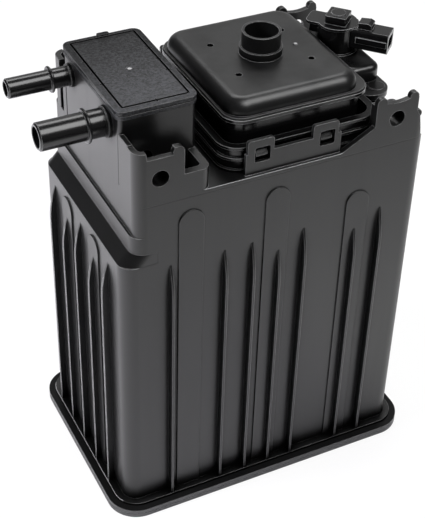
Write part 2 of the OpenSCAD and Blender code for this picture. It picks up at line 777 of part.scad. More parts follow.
// Moulded solenoid shell with its head and connector socket.
module solenoid_shell() {
  color("#19191b") translate([valve_x, valve_y, 0]) difference() {
    union() {
      translate([0, 0, valve_top]) cylinder(r = shell_foot_r, h = can_z - valve_top);
      translate([0, 0, valve_top - 4]) cylinder(r = neck_r, h = 5);
      translate([0, 0, can_z - 1]) cylinder(r = can_r, h = can_h + 1);
      rotate(plug_turn) {
        // top plate over can and yoke block
        translate([-3, 0, can_top - 1.4]) linear_extrude(1.4) rrect(27, 13, 3);
        translate([0, 0, can_top - 1.4]) cylinder(r = can_r + 0.5, h = 1.4);
        translate([-14.5, -4, box_top + 2]) cube([7, 8, can_top - 1 - box_top - 2]);
        // square head with a round boss
        translate([0, 0, can_top - 0.5]) linear_extrude(5) rrect(11.5, 11.5, 1);
        translate([0, 0, can_top + 4]) cylinder(r = 4, h = 1);
        // connector with its latch ramp and side ribs
        translate([0, 0, plug_z]) rotate([90, 0, 90]) linear_extrude(plug_len) rrect(12, plug_h, 1.2);
        translate([0, 0, plug_z]) rotate([90, 0, 90]) linear_extrude(12) rrect(9, plug_h + 0.8, 2);
        translate([0, 0, plug_z + 4]) rotate([90, 0, 0]) linear_extrude(7, center = true)
          polygon([[12, 0], [12, 4.6], [17.5, 5.2], [19.5, 4.2], [19.5, 0]]);
        translate([12, -6.5, plug_z - 1.7]) cube([plug_len - 12.6, 13, 3.4]);
      }
    }
    // room for the coil pack
    translate([0, 0, can_z]) cylinder(r = room_r, h = can_h - 1);
    translate([0, 0, valve_top - 5]) cylinder(r = rod_r + 0.5, h = 10);
    // plug socket and the seats of the contact blades
    rotate(plug_turn) {
      translate([plug_len - 13, 0, plug_z]) rotate([90, 0, 90]) linear_extrude(15) rrect(9, 6.4, 1.4);
      blades();
    }
  }
}

module flux_tube() {
  color("#8d9096") translate([valve_x, valve_y, coil_z]) tube(room_r - 0.2, room_r - 0.9, coil_h);
}

module coil_bobbin() {
  color("#e4e0d4") translate([valve_x, valve_y, coil_z]) difference() {
    union() {
      cylinder(r = plunger_r + 1, h = coil_h);
      cylinder(r = room_r - 1.1, h = 1);
      translate([0, 0, coil_h - 1]) cylinder(r = room_r - 1.1, h = 1);
    }
    translate([0, 0, -1]) cylinder(r = bore_r, h = coil_h + 2);
  }
}

module coil_winding() {
  color("#a8572a") translate([valve_x, valve_y, coil_z + 1])
    tube(room_r - 1.5, plunger_r + 1, coil_h - 2);
}

// Fixed pole with its end plate under the coil.
module pole_core() {
  color("#9a9da3") translate([valve_x, valve_y, can_z]) difference() {
    union() {
      cylinder(r = room_r - 0.1, h = coil_z - can_z);
      cylinder(r = plunger_r, h = pole_up);
    }
    translate([0, 0, -1]) cylinder(r = rod_r + 0.5, h = pole_up + 2);
  }
}

// Armature and rod, drawn with the valve open.
module plunger() {
  rod_z = seat_z + stroke + 1;
  color("#b4b7bd") translate([valve_x, valve_y, 0]) difference() {
    union() {
      translate([0, 0, plunger_z]) cylinder(r = plunger_r, h = can_top - 2 - plunger_z);
      translate([0, 0, rod_z]) cylinder(r = rod_r, h = plunger_z + spring_seat + 1 - rod_z);
    }
    translate([0, 0, plunger_z - 1]) tube(plunger_r - 0.6, rod_r, spring_seat + 1);
  }
}

module valve_disc() {
  color("#262626") translate([valve_x, valve_y, seat_z + stroke]) difference() {
    cylinder(r = chamber_r - 1.6, h = 2.4);
    translate([0, 0, 1]) cylinder(r = rod_r, h = 3);
  }
}

module return_spring() {
  color("#c2c4c8") translate([valve_x, valve_y, can_z + pole_up])
    coil(2.6, 0.6, plunger_z + spring_seat - can_z - pole_up, 3);
}

module terminals() {
  color("#c9b06a") translate([valve_x, valve_y, 0]) rotate(plug_turn) blades();
}

// Carbon, pads, plates and springs inside

// Fill of the tank side chamber between two heights.
module tank_fill(z0, z1) {
  g = fit_gap;
  cut = in_step - g;
  if (z0 < cut) block(in_x0 + g, split_x0 - g, g - in_y, in_y - g, z0, min(z1, cut), in_r);
  if (z1 > cut) block(in_xu + g, split_x0 - g, g - in_y, in_y - g, max(z0, cut), z1, in_r);
}

// Fill of the vent side chamber between two heights.
module vent_fill(z0, z1) {
  g = fit_gap;
  block(split_x1 + g, in_x1 - g, g - in_y, in_y - g, z0, z1, in_r);
}

module carbon_bed_tank() {
  color("#141414") tank_fill(bed_z0, bed_z1);
}

module carbon_bed_vent() {
  color("#141414") vent_fill(bed_z0, bed_z1);
}

module upper_pads() {
  color("#4b4a47") {
    tank_fill(bed_z1, bed_z1 + pad_t);
    vent_fill(bed_z1, bed_z1 + pad_t);
  }
}

module lower_pads() {
  color("#4b4a47") {
    tank_fill(bed_z0 - lower_pad_t, bed_z0);
    vent_fill(bed_z0 - lower_pad_t, bed_z0);
  }
}

// Perforated plates that the springs press up against the beds.
module pressure_plates() {
  color("#2c2c2e") difference() {
    union() {
      tank_fill(plate_z, plate_z + plate_t);
      vent_fill(plate_z, plate_z + plate_t);
    }
    for (iy = [-2 : 2]) {
      for (ix = [-3 : 0])
        translate([split_x - 18 + ix * plate_pitch_x, iy * plate_pitch_y, plate_z - 1])
          cylinder(r = plate_hole_r, h = plate_t + 2);
      for (ix = [0 : 1])
        translate([split_x + 18 + ix * plate_pitch_x, iy * plate_pitch_y, plate_z - 1])
          cylinder(r = plate_hole_r, h = plate_t + 2);
    }
  }
}

module plate_springs() {
  color("#b9bbbf") for (x = [(in_x0 + split_x) / 2, (in_x1 + split_x) / 2])
    translate([x, 0, flange_t + spring_gap])
      coil(plate_spring_r, plate_spring_t, plate_z - flange_t - 2 * spring_gap, 3);
}

housing();
bottom_cover();
tower_lid();
vent_tray();
filter_box();
vent_filter();
vent_cover();
valve_body();
deck_seal();
port_seal();
solenoid_shell();
shell_seal();
flux_tube();
coil_bobbin();
coil_winding();
pole_core();
plunger();
valve_disc();
return_spring();
terminals();
carbon_bed_tank();
carbon_bed_vent();
upper_pads();
lower_pads();
pressure_plates();
plate_springs();
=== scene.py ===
"""Finish, light and camera for the charcoal canister.

The moulded, metal and soft pieces come packed from the solid model. This
script gives each one its surface, puts in a copy of the return spring, and
sets up the studio.
"""

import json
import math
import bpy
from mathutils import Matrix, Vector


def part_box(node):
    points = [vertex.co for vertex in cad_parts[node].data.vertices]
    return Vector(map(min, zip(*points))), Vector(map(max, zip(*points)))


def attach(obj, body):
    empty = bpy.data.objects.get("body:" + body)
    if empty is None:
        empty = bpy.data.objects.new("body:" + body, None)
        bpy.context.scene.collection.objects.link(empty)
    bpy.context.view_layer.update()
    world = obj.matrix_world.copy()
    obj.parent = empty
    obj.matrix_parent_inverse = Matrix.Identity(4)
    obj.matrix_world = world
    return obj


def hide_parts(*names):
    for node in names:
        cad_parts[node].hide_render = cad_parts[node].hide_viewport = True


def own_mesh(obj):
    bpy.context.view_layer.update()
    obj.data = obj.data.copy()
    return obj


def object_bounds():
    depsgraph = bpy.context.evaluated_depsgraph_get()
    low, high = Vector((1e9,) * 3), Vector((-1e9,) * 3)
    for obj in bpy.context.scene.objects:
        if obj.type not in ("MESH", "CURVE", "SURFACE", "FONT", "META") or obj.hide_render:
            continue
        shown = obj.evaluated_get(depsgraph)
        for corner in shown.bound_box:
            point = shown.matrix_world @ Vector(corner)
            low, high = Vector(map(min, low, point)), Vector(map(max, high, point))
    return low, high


bl_info = {
    "name": "Charcoal Canister Finish",
    "version": (1, 0, 0),
    "blender": (4, 5, 0),
    "location": "3D View > Sidebar > Canister",
    "description": "Surfaces, moulding marks and studio for a charcoal canister",
    "category": "Material",
}

import bmesh
import bpy
from mathutils import Matrix, Vector

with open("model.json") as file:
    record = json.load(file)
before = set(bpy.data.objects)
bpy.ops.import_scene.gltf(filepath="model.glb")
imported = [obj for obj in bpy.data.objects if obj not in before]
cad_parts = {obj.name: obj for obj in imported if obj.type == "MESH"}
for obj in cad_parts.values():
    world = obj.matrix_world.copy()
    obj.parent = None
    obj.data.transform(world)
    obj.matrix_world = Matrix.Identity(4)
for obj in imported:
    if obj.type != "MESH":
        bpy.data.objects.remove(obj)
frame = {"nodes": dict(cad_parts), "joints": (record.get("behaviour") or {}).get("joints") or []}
NODES = frame["nodes"]
CAD_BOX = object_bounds()
MM = 0.001

# Places on the housing, taken from the pieces that meet it
FLANGE_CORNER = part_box("bottom_cover")[0]
FLANGE_RIM = 8.5 * MM
LEFT_WALL = FLANGE_CORNER.x + FLANGE_RIM
FRONT_WALL = FLANGE_CORNER.y + FLANGE_RIM
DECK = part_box("vent_tray")[0].z
LEDGE = DECK - 37.5 * MM
TOWER_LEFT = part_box("tower_lid")[0].x

# Plastic
PLASTIC_IOR = 1.52
WELD_IOR = 1.6
# Matte black mixed in as painted shade in corners, gaps and on shaded tops
PAINTED_SHADE_BLACK = (0.0015, 0.0015, 0.0015, 1)
# Painted highlight on fin tips and the deck rim
PAINTED_EDGE_HIGHLIGHT = (0.75, 0.75, 0.78)

# Relief of the mouldings, in depths of the grain
STREAK_RELIEF = 0.8
WALL_STREAK_RELIEF = 1.2
TURNED_RELIEF = 0.4
MOULD_LINE_RELIEF = 30
SAND_RELIEF = 9
SPECK_RELIEF = 8
WELD_RELIEF = 4
SCUFF_RELIEF = 1.5

# Rays that look for edges and corners, and the readings over which each fades
RAYS = 6
EDGE_FROM, EDGE_FULL = 0.03, 0.25
CLOSED, OPEN = 0.42, 0.8
TOP_BONUS = 0.22

# Studio
WHITE = (1, 1, 1)
FLOOR_RADIUS = 9
FLOOR_GAP = 0.2 * MM
SENSOR_WIDTH = 36


# Shader expressions


class Value:
    """A shader socket that Python expressions can calculate with."""

    def __init__(self, shader, socket):
        self.shader = shader
        self.socket = socket

    def calc(self, operation, *values):
        settings = {"operation": operation}
        return self.shader.add("ShaderNodeMath", settings, dict(enumerate(values)))["Value"]

    def __add__(self, other):
        return self.calc("ADD", self, other)

    __radd__ = __add__

    def __sub__(self, other):
        return self.calc("SUBTRACT", self, other)

    def __rsub__(self, other):
        return self.calc("SUBTRACT", other, self)

    def __mul__(self, other):
        return self.calc("MULTIPLY", self, other)

    __rmul__ = __mul__

    def sine(self):
        return self.calc("SINE", self)

    def root(self):
        return self.calc("SQRT", self)

    def rise(self, start, end):
        """Zero before start, one after end, smooth between them."""
        settings = {"interpolation_type": "SMOOTHSTEP"}
        ends = {"Value": self, "From Min": start, "From Max": end}
        return self.shader.add("ShaderNodeMapRange", settings, ends)["Result"]

    def fall(self, start, end):
        """One before start, zero after end, smooth between them."""
        return 1 - self.rise(start, end)

    def within(self, low, high, soft):
        """One between low and high, fading to zero over soft."""
        return self.rise(low - soft, low) * self.fall(high, high + soft)


class Outputs:
    """The outputs of a node, by name."""

    def __init__(self, shader, node):
        self.shader = shader
        self.node = node

    def __getitem__(self, name):
        return Value(self.shader, self.node.outputs[name])

    def colour(self):
        """The mixed colour of a Mix node, whose outputs share one name."""
        return self[2]


class Shader:
    """The node tree of one material or of the world."""

    def __init__(self, owner):
        owner.use_nodes = True
        self.owner = owner
        self.tree = owner.node_tree
        self.tree.nodes.clear()
        self.place = None
        self.round = None

    def add(self, kind, settings=None, inputs=None):
        """A node of a kind, with its settings and the values or links of its sockets."""
        node = self.tree.nodes.new(kind)
        for key, value in (settings or {}).items():
            setattr(node, key, value)
        for key, value in (inputs or {}).items():
            if isinstance(value, Value):
                self.tree.links.new(value.socket, node.inputs[key])
            else:
                node.inputs[key].default_value = value
        return Outputs(self, node)

    def xyz(self):
        """The point on the piece, in metres, as three values."""
        if self.place is None:
            point = self.add("ShaderNodeTexCoord")["Object"]
            parts = self.add("ShaderNodeSeparateXYZ", None, {"Vector": point})
            self.place = (point, parts["X"], parts["Y"], parts["Z"])
        return self.place[1:]

    def point(self, stretch=(1, 1, 1)):
        """The point on the piece as one vector, drawn out where stretch is small."""
        self.xyz()
        settings = {"operation": "MULTIPLY"}
        return self.add("ShaderNodeVectorMath", settings, {0: self.place[0], 1: stretch})["Vector"]

    def normal(self):
        return self.add("ShaderNodeNewGeometry")["Normal"]

    def noise(self, size, stretch=(1, 1, 1), detail=2.0, rough=0.5):
        """Cloudy value between 0 and 1 whose lumps are about size metres wide."""
        inputs = {"Vector": self.point(stretch), "Scale": 1 / size, "Detail": detail, "Roughness": rough}
        return self.add("ShaderNodeTexNoise", None, inputs)["Fac"]

    def cells(self, size):
        """Distance from the middles of random cells about size metres wide."""
        inputs = {"Vector": self.point(), "Scale": 1 / size}
        return self.add("ShaderNodeTexVoronoi", None, inputs)["Distance"]

    def mixed(self, factor, first, second):
        settings = {"data_type": "RGBA"}
        return self.add("ShaderNodeMix", settings, {0: factor, 6: first, 7: second}).colour()

    def blend(self, factor, dark, light):
        """Colour between two colours."""
        return self.mixed(factor, (*dark, 1), (*light, 1))

    def marked(self, ground, mark, colour):
        """A ground colour with a mark of another colour."""
        return self.mixed(mark, ground, (*colour, 1))

    def spot(self, x, y, radius, soft):
        """One within a radius of a place in plan, fading to zero over soft."""
        px, py, _ = self.xyz()
        dx, dy = px - x, py - y
        return (dx * dx + dy * dy).root().fall(radius, radius + soft)

    def inset(self, box, left, right, front, back, soft):
        """One inside a box in plan, less a margin on each side, fading to zero over soft."""
        low, high = box
        x, y, _ = self.xyz()
        return x.within(low.x + left, high.x - right, soft) * y.within(low.y + front, high.y - back, soft)

    def eased(self, radius):
        """Normal of the surface with edges rounded to a radius, the same one all over a piece."""
        if self.round is None:
            self.round = self.add("ShaderNodeBevel", {"samples": RAYS}, {"Radius": radius})["Normal"]
        return self.round

    def edges(self, radius):
        """One along rounded edges, zero elsewhere."""
        settings = {"operation": "DOT_PRODUCT"}
        inputs = {0: self.eased(radius), 1: self.normal()}
        along = self.add("ShaderNodeVectorMath", settings, inputs)["Value"]
        return (1 - along).rise(EDGE_FROM, EDGE_FULL)

    def bumped(self, height, depth, edge=0.0):
        """Normal of a surface with that height, in metres of depth, and eased edges."""
        inputs = {"Height": height, "Distance": depth, "Strength": 1.0}
        if edge:
            inputs["Normal"] = self.eased(edge)
        return self.add("ShaderNodeBump", None, inputs)["Normal"]

    def facing_up(self):
        """One on tops, zero on walls."""
        return self.add("ShaderNodeSeparateXYZ", None, {"Vector": self.normal()})["Z"].rise(0.6, 0.9)

    def openness(self, reach, harder=0.0):
        """One on open faces and tops, falling towards zero in corners and gaps; the painted shade of
        corners and gaps follows it.
        """
        gap = self.add("ShaderNodeAmbientOcclusion", {"samples": RAYS}, {"Distance": reach})["AO"]
        return (gap + TOP_BONUS * self.facing_up() - harder).rise(CLOSED, OPEN)

    def camera_ray(self):
        """One where the camera looks straight at the surface, zero in reflections."""
        return self.add("ShaderNodeLightPath")["Is Camera Ray"]

    def principled(self, **inputs):
        named = {k.replace("_", " "): v for k, v in inputs.items()}
        return self.add("ShaderNodeBsdfPrincipled", None, named)["BSDF"]

    def mix(self, factor, first, second):
        return self.add("ShaderNodeMixShader", None, {"Fac": factor, 1: first, 2: second})["Shader"]

    def output(self, surface):
        """Ends the material, and gives it back."""
        self.add("ShaderNodeOutputMaterial", None, {"Surface": surface})
        return self.owner

    def surface(self, **inputs):
        return self.output(self.principled(**inputs))

    def satin(self, finish, painted_lit_share):
        """A finish mixed with matte black where its lit share falls: painted shade."""
        painted_shade = self.principled(Base_Color=PAINTED_SHADE_BLACK, Roughness=0.9, Specular_IOR_Level=0.02)
        return self.output(self.mix(painted_lit_share, painted_shade, finish))


def new_shader(name):
    return Shader(bpy.data.materials.new(name))


def dress(material, *names):
    """Gives a material to solid pieces by name."""
    for name in names:
        slots = NODES[name].data.materials
        slots.clear()
        slots.append(material)


# Sizes and colours a user would change


class MouldingLook(bpy.types.PropertyGroup):
    """Black mouldings."""

    colour: bpy.props.FloatVectorProperty(
        name="Colour", description="Colour of the black mouldings",
        default=(0.0038, 0.0038, 0.004), min=0, max=1, size=3, subtype="COLOR")
    # Colour of the painted highlight along edges
    edge_highlight: bpy.props.FloatVectorProperty(
        name="Edges", description="Paler colour along the edges",
        default=(0.2, 0.2, 0.205), min=0, max=1, size=3, subtype="COLOR")
    roughness: bpy.props.FloatProperty(
        name="Roughness", description="Roughness of the satin walls",
        default=0.33, min=0.05, max=1, subtype="FACTOR")
    polish: bpy.props.FloatProperty(
        name="Nipple roughness", description="Roughness of the polished nipples",
        default=0.2, min=0.05, max=1, subtype="FACTOR")
    grain: bpy.props.FloatProperty(
        name="Grain", description="Size of the fine surface grain",
        default=0.5 * MM, min=0.1 * MM, max=5 * MM, subtype="DISTANCE", unit="LENGTH", precision=5)
    grain_depth: bpy.props.FloatProperty(
        name="Grain depth", description="Depth of the fine surface grain",
        default=0.012 * MM, min=0, max=MM, subtype="DISTANCE", unit="LENGTH", precision=6)
    sand: bpy.props.FloatProperty(
        name="Lid sand", description="Size of the lid's sand texture",
        default=1.3 * MM, min=0.1 * MM, max=5 * MM, subtype="DISTANCE", unit="LENGTH", precision=5)
    # Reach of the painted shade in inner corners
    corner: bpy.props.FloatProperty(
        name="Corner reach", description="How far the dull black of inner corners reaches",
        default=12 * MM, min=0, max=50 * MM, subtype="DISTANCE", unit="LENGTH", precision=5)
    edge: bpy.props.FloatProperty(
        name="Edge", description="Radius of eased edges",
        default=0.7 * MM, min=0, max=3 * MM, subtype="DISTANCE", unit="LENGTH", precision=5)


class StudioLook(bpy.types.PropertyGroup):
    """Floor, light and camera."""

    floor: bpy.props.FloatVectorProperty(
        name="Floor", description="Colour of the floor",
        default=(0.85, 0.85, 0.85), min=0, max=1, size=3, subtype="COLOR")
    sky: bpy.props.FloatProperty(
        name="Surround", description="Brightness of the white surround", default=1.0, min=0, max=5)
    key: bpy.props.FloatProperty(
        name="Key light", description="Power that the lamps share out",
        default=8.5, min=0, max=500, unit="POWER")
    lens: bpy.props.FloatProperty(
        name="Lens", description="Focal length of the camera",
        default=91.77, min=10, max=300, unit="CAMERA")
    spot: bpy.props.FloatVectorProperty(
        name="Camera place", description="Where the camera stands",
        default=(-0.2771, -0.52522, 0.58047), size=3, subtype="TRANSLATION", unit="LENGTH")
    yaw: bpy.props.FloatProperty(
        name="Yaw", description="Turn of the camera about the upright",
        default=math.radians(-27.05), subtype="ANGLE", unit="ROTATION")
    pitch: bpy.props.FloatProperty(
        name="Pitch", description="Downward tilt of the camera",
        default=math.radians(38.13), subtype="ANGLE", unit="ROTATION")
    roll: bpy.props.FloatProperty(
        name="Roll", description="Turn of the camera about its own axis",
        default=math.radians(-1.674), subtype="ANGLE", unit="ROTATION")


class CanisterLook(bpy.types.PropertyGroup):
    """All settings of the canister."""

    moulding: bpy.props.PointerProperty(type=MouldingLook)
    studio: bpy.props.PointerProperty(type=StudioLook)


def looks(context):
    return context.scene.canister_look


# Surfaces


def black(s, look, scale=1.0, pale=1.0):
    """Black plastic whose shade drifts a little over the moulding, with a painted highlight along its
    edges.
    """
    drift = s.noise(35 * MM, detail=3)
    dark, light = ([c * scale * share for c in look.colour] for share in (0.75, 1.3))
    edge_highlight = [c * pale for c in look.edge_highlight]
    # Painted highlight along the edges
    return s.marked(s.blend(drift, dark, light), s.edges(look.edge), edge_highlight)


def plastic(s, look, colour, rough, height, painted_lit_share, ior=PLASTIC_IOR):
    """Satin plastic with fine relief and eased edges, and painted shade where its lit share is low."""
    normal = s.bumped(height, look.grain_depth, look.edge)
    return s.satin(s.principled(Base_Color=colour, Roughness=rough, Normal=normal, IOR=ior), painted_lit_share)


def moulded(name, look, roughness, colour_scale=1.0, corner=1.0, shaded_tops=0.0, pale=1.0):
    """Plain moulding with fine grain and flow streaks, painted shade in its corners and, where asked, on
    its tops.
    """
    s = new_shader(name)
    grain = s.noise(look.grain, detail=3)
    streak = s.noise(12 * MM, stretch=(1, 1, 0.06), detail=3)
    height = grain + streak * STREAK_RELIEF
    rough = roughness - 0.05 + 0.06 * streak + 0.05 * grain
    # Painted shade in corners and, by the given share, on tops
    painted_lit_share = s.openness(look.corner * corner) * (1 - shaded_tops * s.facing_up())
    return plastic(s, look, black(s, look, colour_scale, pale), rough, height, painted_lit_share)


def housing_surface(look):
    """Satin walls with painted highlights on the fin tips and the deck rim, painted shade along the strip
    outlines, in corners and towards the foot, a mould line, and polished nipples.
    """
    s = new_shader("housing_plastic")
    x, y, z = s.xyz()
    nipple = x.fall(TOWER_LEFT - 3 * MM, TOWER_LEFT - 1.5 * MM) * z.rise(DECK + 17 * MM, DECK + 19 * MM)
    left = x.fall(LEFT_WALL + 0.5 * MM, LEFT_WALL + 4.5 * MM)
    front = y.fall(FRONT_WALL + 0.2 * MM, FRONT_WALL + 0.4 * MM)
    foot = z.fall(FLANGE_CORNER.z + 4 * MM, FLANGE_CORNER.z + 22 * MM)

    grain = s.noise(look.grain, detail=3)
    streak = s.noise(10 * MM, stretch=(1, 1, 0.05), detail=4)
    cloud = s.noise(50 * MM, detail=2)
    turned = s.noise(1.2 * MM, stretch=(1, 0.02, 0.02), detail=2)
    mould_line = z.within(DECK - 2.3 * MM, DECK - 2 * MM, 0.15 * MM) * front
    wall_height = grain + streak * WALL_STREAK_RELIEF - mould_line * MOULD_LINE_RELIEF
    height = wall_height * (1 - nipple) + turned * nipple * TURNED_RELIEF
    wall_rough = look.roughness - 0.06 + 0.07 * streak + 0.06 * cloud
    rough = wall_rough * (1 - nipple) + look.polish * nipple

    edge = s.edges(look.edge)
    side_edge = edge * z.fall(LEDGE - 2.5 * MM, LEDGE + 0.5 * MM)
    fin_tip = x.fall(LEFT_WALL - 2.7 * MM, LEFT_WALL - 1.9 * MM)
    deck_rim = z.within(DECK - 1.4 * MM, DECK + 0.4 * MM, 0.3 * MM)
    deck_rim = deck_rim * y.fall(FRONT_WALL + 2.5 * MM, FRONT_WALL + 3.5 * MM)
    # Painted highlight on the left fin tips and the deck's front rim
    colour = s.marked(black(s, look), side_edge * fin_tip + edge * deck_rim, PAINTED_EDGE_HIGHLIGHT)

    front_strips = y.within(FRONT_WALL - 1.7 * MM, FRONT_WALL + 0.5 * MM, 0.3 * MM)
    front_strips = front_strips * x.rise(LEFT_WALL + 6.5 * MM, LEFT_WALL + 10.5 * MM)
    front_strips = front_strips * z.fall(DECK - 7 * MM, DECK - 5 * MM)
    # Painted shade along the outlines of the side and front strips
    strip_outline_shade = side_edge * left * (1 - fin_tip) + edge * front_strips * 0.6
    # Painted shade in corners, deeper towards the foot, lighter on the left wall
    wall_lit_share = s.openness(look.corner * 0.8, foot * 0.3 - left * 0.1)
    painted_lit_share = wall_lit_share * (0.9 + 0.2 * streak) * (1 - 0.8 * strip_outline_shade)
    return plastic(s, look, colour, rough, height, painted_lit_share)


def lid_surface(look):
    """Sand texture with a gate spot inside the sunk line, smoother rim, painted light paler towards the
    front, and painted shade on the rim, in the sunk line and in corners.
    """
    s = new_shader("lid_plastic")
    box = low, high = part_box("tower_lid")
    middle = (low + high) / 2
    _, y, _ = s.xyz()
    panel = s.inset(box, left=5 * MM, right=4.4 * MM, front=5 * MM, back=6.6 * MM, soft=0.4 * MM)
    line_outside = s.inset(box, left=4 * MM, right=3.2 * MM, front=4.2 * MM, back=3.4 * MM, soft=0.2 * MM)
    line_inside = s.inset(box, left=5 * MM, right=4.2 * MM, front=5.2 * MM, back=4.4 * MM, soft=0.2 * MM)
    sunk_line = line_outside * (1 - line_inside)
    gate = s.spot(middle.x + 0.4 * MM, middle.y - 1.5 * MM, 0.7 * MM, 0.6 * MM)

    sand = s.noise(look.sand, detail=4, rough=0.65).rise(0.3, 0.7)
    speck = s.cells(look.sand * 1.4)
    height = (sand * SAND_RELIEF + speck * SPECK_RELIEF) * (0.15 + 0.85 * panel)
    rough = look.roughness + 0.02 + panel * 0.08 + sand * 0.05
    # Painted light: one at the front, falling to zero at the back
    painted_front_light = y.fall(low.y, high.y)
    # Dust in the sand grain, made paler towards the front as painted light
    dust = s.blend(sand * (0.25 + 0.75 * painted_front_light), (0.002, 0.0022, 0.003), (0.03, 0.031, 0.038))
    # Painted highlight along the edges, and the pale gate spot
    colour = s.marked(s.marked(dust, s.edges(look.edge), look.edge_highlight), gate, (0.4, 0.4, 0.41))
    # Painted light on the top: less towards the back and on the rim
    top_lit_share = (0.38 + 0.45 * painted_front_light + 0.4 * sand) * (0.72 + 0.28 * panel)
    # Painted shade in corners and in the sunk line
    painted_lit_share = s.openness(look.corner) * top_lit_share * (1 - 0.85 * sunk_line)
    return plastic(s, look, colour, rough, height, painted_lit_share)


def flange_surface(look):
    """Cover whose edge shows the fine lines of the vibration weld, with painted shade on its top."""
    s = new_shader("bottom_cover_plastic")
    _, _, z = s.xyz()
    weld_pitch = 1.1 * MM
    grain = s.noise(look.grain, detail=3)
    wobble = s.noise(4 * MM, detail=2)
    top = s.facing_up()
    weld = (z * (2 * math.pi / weld_pitch) + wobble * 2).sine() * (1 - top)
    height = grain + weld * WELD_RELIEF
    rough = look.roughness + 0.06 * grain
    # Painted shade on the top
    painted_lit_share = 1 - 0.85 * top
    return plastic(s, look, black(s, look, scale=7), rough, height, painted_lit_share, WELD_IOR)


def cover_surface(look):
    """Domed cover with a pale gate spot and faint scuffs on its top, and painted shade in its corners that
    varies in random patches.
    """
    s = new_shader("cover_plastic")
    low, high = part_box("vent_cover")
    middle = (low + high) / 2
    _, _, z = s.xyz()
    top = z.within(low.z + 8.5 * MM, low.z + 9.6 * MM, 0.2 * MM)
    gate = s.spot(middle.x + 18.9 * MM, middle.y - 0.3 * MM, 0.6 * MM, 0.6 * MM) * top

    grain = s.noise(look.grain, detail=3)
    streak = s.noise(12 * MM, stretch=(1, 0.2, 1), detail=3)
    scuff = s.noise(4 * MM, stretch=(0.25, 1, 1), detail=4, rough=0.7).rise(0.62, 0.75) * top
    cloud = s.noise(18 * MM, detail=4, rough=0.6)
    height = grain + streak * STREAK_RELIEF + scuff * SCUFF_RELIEF
    rough = look.roughness - 0.05 + 0.06 * streak + 0.05 * grain + 0.1 * scuff
    colour = s.marked(black(s, look), gate, (0.45, 0.45, 0.46))
    # Painted shade in corners, varying in random patches
    painted_lit_share = s.openness(look.corner * 0.5) * (0.6 + 0.7 * cloud)
    return plastic(s, look, colour, rough, height, painted_lit_share)


def plain(name, dark, light, size, roughness, depth, metallic=0.0, stretch=(1, 1, 1)):
    """A mottled surface with bump, for pieces inside."""
    s = new_shader(name)
    spread = 0.12
    mottle = s.noise(size, stretch=stretch, detail=4, rough=0.6)
    rough = roughness - spread / 2 + spread * mottle
    return s.surface(Base_Color=s.blend(mottle, dark, light), Roughness=rough,
                     Normal=s.bumped(mottle, depth), Metallic=metallic)


def carbon_surface():
    """Crushed granules of carbon."""
    s = new_shader("carbon_granules")
    granule = s.cells(2.2 * MM)
    dust = s.noise(0.8 * MM, detail=3)
    colour = s.blend(dust, (0.004, 0.004, 0.004), (0.02, 0.02, 0.021))
    return s.surface(Base_Color=colour, Roughness=0.6 + 0.3 * dust, Normal=s.bumped(1 - granule, 1.2 * MM))


def winding_surface():
    """Turns of enamelled wire round the bobbin."""
    s = new_shader("enamelled_wire")
    _, _, z = s.xyz()
    wire = 0.35 * MM
    turns = (z * (2 * math.pi / wire)).sine()
    tone = s.noise(3 * MM)
    colour = s.blend(tone, (0.3, 0.08, 0.02), (0.5, 0.17, 0.06))
    return s.surface(Base_Color=colour, Roughness=0.3 + 0.1 * tone, Metallic=0.8, Coat_Weight=0.5,
                     Normal=s.bumped(turns, 0.12 * MM))


# Pieces


class CANISTER_OT_housing(bpy.types.Operator):
    """Finish the moulded housing with its nipples"""

    bl_idname = "canister.housing"
    bl_label = "Housing"

    def execute(self, context):
        dress(housing_surface(looks(context).moulding), "housing")
        return {"FINISHED"}


class CANISTER_OT_covers(bpy.types.Operator):
    """Finish the welded bottom cover and the tower's lid"""

    bl_idname = "canister.covers"
    bl_label = "Covers"

    def execute(self, context):
        look = looks(context).moulding
        dress(flange_surface(look), "bottom_cover")
        dress(lid_surface(look), "tower_lid")
        return {"FINISHED"}


class CANISTER_OT_vent_module(bpy.types.Operator):
    """Finish the fresh air module: tray, filter box, cover and filter"""

    bl_idname = "canister.vent_module"
    bl_label = "Vent module"

    def execute(self, context):
        look = looks(context).moulding
        glossy = look.roughness - 0.08
        # The tray gets painted shade on its tops and a stronger painted edge highlight
        tray = moulded("tray_plastic", look, glossy, colour_scale=0.7, corner=0.5, shaded_tops=0.45, pale=1.5)
        box = moulded("box_plastic", look, glossy, colour_scale=0.7, corner=0.5, pale=2.8)
        paper = plain("filter_paper", dark=(0.42, 0.37, 0.27), light=(0.66, 0.6, 0.48),
                      size=1.5 * MM, roughness=0.85, depth=0.08 * MM)
        dress(tray, "vent_tray")
        dress(box, "filter_box")
        dress(cover_surface(look), "vent_cover")
        dress(paper, "vent_filter")
        return {"FINISHED"}


class CANISTER_OT_valve(bpy.types.Operator):
    """Finish the vent valve, its connector and its seals"""

    bl_idname = "canister.valve"
    bl_label = "Vent valve"

    def execute(self, context):
        look = looks(context).moulding
        body = moulded("valve_plastic", look, look.roughness - 0.05, colour_scale=0.9)
        polished = look.roughness - 0.14
        shell = moulded("shell_plastic", look, polished, colour_scale=0.8, corner=0.5, pale=1.3)
        rubber = plain("seal_rubber", dark=(0.012, 0.012, 0.012), light=(0.03, 0.03, 0.03),
                       size=1 * MM, roughness=0.75, depth=0.02 * MM)
        blade = plain("plated_blade", dark=(0.5, 0.36, 0.12), light=(0.68, 0.54, 0.26),
                      size=2 * MM, roughness=0.3, depth=0.01 * MM, metallic=1.0)
        dress(body, "valve_body")
        dress(shell, "solenoid_shell")
        dress(rubber, "deck_seal", "port_seal", "shell_seal", "valve_disc")
        dress(blade, "terminals")
        return {"FINISHED"}


